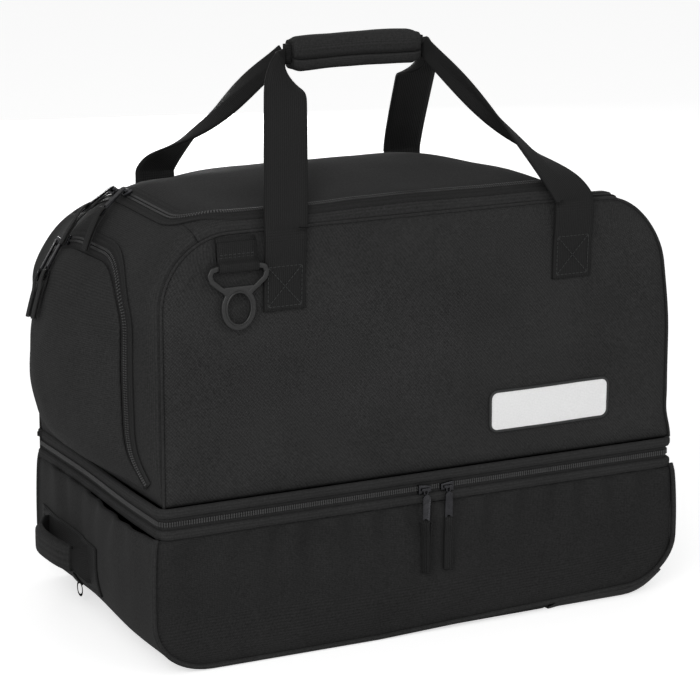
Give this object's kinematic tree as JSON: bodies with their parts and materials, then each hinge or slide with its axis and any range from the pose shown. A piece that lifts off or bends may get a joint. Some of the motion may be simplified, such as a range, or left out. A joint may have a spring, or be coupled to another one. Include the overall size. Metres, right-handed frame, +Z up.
{
  "type": "ski boot bag",
  "caption": "Black soft boot bag with a padded zip-off boot compartment under a clothes compartment with a zipped lid, end pocket, carry straps and haul handle.",
  "frame": {"origin": "middle of the base panel's depth and of the bag's width, on the surface it stands on", "axes": "+X to the right along the front, +Y to the back, +Z up"},
  "size_m": [0.5596, 0.3032, 0.5148],
  "materials": {
    "fabric": "black coated polyester, twill weave",
    "webbing": "black ribbed webbing",
    "zip_tape": "black coil zip on woven tape",
    "metal": "black nickel, satin",
    "plastic": "black moulded nylon",
    "label": "white woven patch, blank",
    "padding": "black padded fabric"
  },
  "bodies": {
    "boot_compartment": {"boot_front_panel": "fabric", "boot_back_panel": "fabric", "boot_left_panel": "fabric", "base_panel": "fabric", "boot_right_panel": "fabric", "base_board": "plastic", "base_skid_front": "plastic", "base_skid_back": "plastic", "front_piping": "fabric", "back_piping": "fabric", "boot_zip_lower": "zip_tape", "back_hinge_lower": "fabric", "haul_backing": "webbing", "drag_ring_tab": "webbing"},
    "upper_compartment": {"boot_zip_upper": "zip_tape", "back_hinge_upper": "fabric", "divider_floor": "fabric", "upper_front_panel": "fabric", "upper_back_panel": "fabric", "left_end_panel": "fabric", "right_end_panel": "fabric", "top_border_front": "fabric", "top_back_panel": "fabric", "lid_zip_outer": "zip_tape", "zip_garage_left": "fabric", "zip_garage_right": "fabric", "pocket_zip_outer": "zip_tape", "front_strap_tail_left": "webbing", "front_strap_tail_right": "webbing", "back_strap_tail_left": "webbing", "back_strap_tail_right": "webbing", "front_loop_tab": "webbing", "back_loop_tab": "webbing", "label_patch": "label"},
    "top_lid": {"top_lid": "fabric", "lid_zip_inner": "zip_tape"},
    "front_strap": {"front_strap": "webbing"},
    "back_strap": {"back_strap": "webbing", "grip_wrap": "padding"},
    "grip_flap": {"grip_flap": "padding"},
    "end_pocket_flap": {"end_pocket_flap": "fabric", "pocket_zip_inner": "zip_tape"},
    "haul_handle": {"haul_pad": "padding", "haul_webbing_front": "webbing", "haul_webbing_back": "webbing"},
    "drag_ring": {"drag_ring": "metal"},
    "front_strap_loop": {"front_strap_loop": "plastic"},
    "back_strap_loop": {"back_strap_loop": "plastic"},
    "boot_slider_left": {"boot_slider_left": "metal"},
    "boot_pull_left": {"boot_pull_left": "metal"},
    "boot_slider_right": {"boot_slider_right": "metal"},
    "boot_pull_right": {"boot_pull_right": "metal"},
    "lid_slider_front": {"lid_slider_front": "metal"},
    "lid_pull_front": {"lid_pull_front": "metal"},
    "lid_slider_back": {"lid_slider_back": "metal"},
    "lid_pull_back": {"lid_pull_back": "metal"},
    "pocket_slider_front": {"pocket_slider_front": "metal"},
    "pocket_pull_front": {"pocket_pull_front": "metal"},
    "pocket_slider_back": {"pocket_slider_back": "metal"},
    "pocket_pull_back": {"pocket_pull_back": "metal"}
  },
  "joints": [
    {"name": "upper_compartment_tilt", "type": "hinge", "parent": "boot_compartment", "child": "upper_compartment", "pos_m": [0, 0.145, 0.132], "axis": [-1, 0, 0], "range_deg": [0, 100]},
    {"name": "lid_open", "type": "hinge", "parent": "upper_compartment", "child": "top_lid", "pos_m": [0, 0.04, 0.39844], "axis": [-1, 0, 0], "range_deg": [0, 100]},
    {"name": "front_strap_swing", "type": "hinge", "parent": "upper_compartment", "child": "front_strap", "pos_m": [0, -0.1485, 0.372], "axis": [1, 0, 0], "range_deg": [0, 171]},
    {"name": "back_strap_swing", "type": "hinge", "parent": "upper_compartment", "child": "back_strap", "pos_m": [0, 0.1485, 0.372], "axis": [-1, 0, 0], "range_deg": [0, 171]},
    {"name": "grip_flap_open", "type": "hinge", "parent": "back_strap", "child": "grip_flap", "pos_m": [0, 0.0106, 0.50665], "axis": [-1, 0, 0], "range_deg": [0, 151]},
    {"name": "end_pocket_open", "type": "hinge", "parent": "upper_compartment", "child": "end_pocket_flap", "pos_m": [-0.257, 0, 0.156], "axis": [0, -1, 0], "range_deg": [0, 60]},
    {"name": "haul_handle_swing", "type": "hinge", "parent": "boot_compartment", "child": "haul_handle", "pos_m": [-0.2506, 0.053, 0.075], "axis": [0, 1, 0], "range_deg": [0, 70]},
    {"name": "drag_ring_swing", "type": "hinge", "parent": "boot_compartment", "child": "drag_ring", "pos_m": [-0.2428, 0.067, 0.01932], "axis": [0, 1, 0], "range_deg": [0, 90]},
    {"name": "front_loop_swing", "type": "hinge", "parent": "upper_compartment", "child": "front_strap_loop", "pos_m": [-0.183, -0.1496, 0.346], "axis": [-1, 0, 0], "range_deg": [0, 140]},
    {"name": "back_loop_swing", "type": "hinge", "parent": "upper_compartment", "child": "back_strap_loop", "pos_m": [0.183, 0.1496, 0.346], "axis": [1, 0, 0], "range_deg": [0, 140]},
    {"name": "boot_slider_left_run", "type": "slide", "parent": "boot_compartment", "child": "boot_slider_left", "axis": [-1, 0, 0], "range_m": [0, 0.19]},
    {"name": "boot_pull_left_lift", "type": "hinge", "parent": "boot_slider_left", "child": "boot_pull_left", "pos_m": [-0.006, -0.1496, 0.12557], "axis": [-1, 0, 0], "range_deg": [0, 120]},
    {"name": "boot_slider_right_run", "type": "slide", "parent": "boot_compartment", "child": "boot_slider_right", "axis": [1, 0, 0], "range_m": [0, 0.18]},
    {"name": "boot_pull_right_lift", "type": "hinge", "parent": "boot_slider_right", "child": "boot_pull_right", "pos_m": [0.016, -0.1496, 0.12557], "axis": [-1, 0, 0], "range_deg": [0, 120]},
    {"name": "lid_slider_front_run", "type": "slide", "parent": "upper_compartment", "child": "lid_slider_front", "axis": [0, -1, 0], "range_m": [0, 0.08]},
    {"name": "lid_pull_front_lift", "type": "hinge", "parent": "lid_slider_front", "child": "lid_pull_front", "pos_m": [-0.22676, -0.011, 0.3846], "axis": [0, 1, 0], "range_deg": [0, 120]},
    {"name": "lid_slider_back_run", "type": "slide", "parent": "upper_compartment", "child": "lid_slider_back", "axis": [0, 1, 0], "range_m": [0, 0.017]},
    {"name": "lid_pull_back_lift", "type": "hinge", "parent": "lid_slider_back", "child": "lid_pull_back", "pos_m": [-0.22674, 0.0155, 0.38456], "axis": [0, 1, 0], "range_deg": [0, 120]},
    {"name": "pocket_slider_front_run", "type": "slide", "parent": "end_pocket_flap", "child": "pocket_slider_front", "axis": [0, -1, 0], "range_m": [0, 0.04]},
    {"name": "pocket_pull_front_lift", "type": "hinge", "parent": "pocket_slider_front", "child": "pocket_pull_front", "pos_m": [-0.26421, 0.024, 0.3449], "axis": [0, 1, 0], "range_deg": [0, 120]},
    {"name": "pocket_slider_back_run", "type": "slide", "parent": "end_pocket_flap", "child": "pocket_slider_back", "axis": [0, 1, 0], "range_m": [0, 0.006]},
    {"name": "pocket_pull_back_lift", "type": "hinge", "parent": "pocket_slider_back", "child": "pocket_pull_back", "pos_m": [-0.26376, 0.044, 0.3447], "axis": [0, 1, 0], "range_deg": [0, 120]}
  ],
  "couplings": [
    {"joint": "front_strap_swing", "follows": "lid_open", "ratio": 1.7},
    {"joint": "back_strap_swing", "follows": "lid_open", "ratio": 1.7},
    {"joint": "grip_flap_open", "follows": "lid_open", "ratio": 1.5}
  ]
}
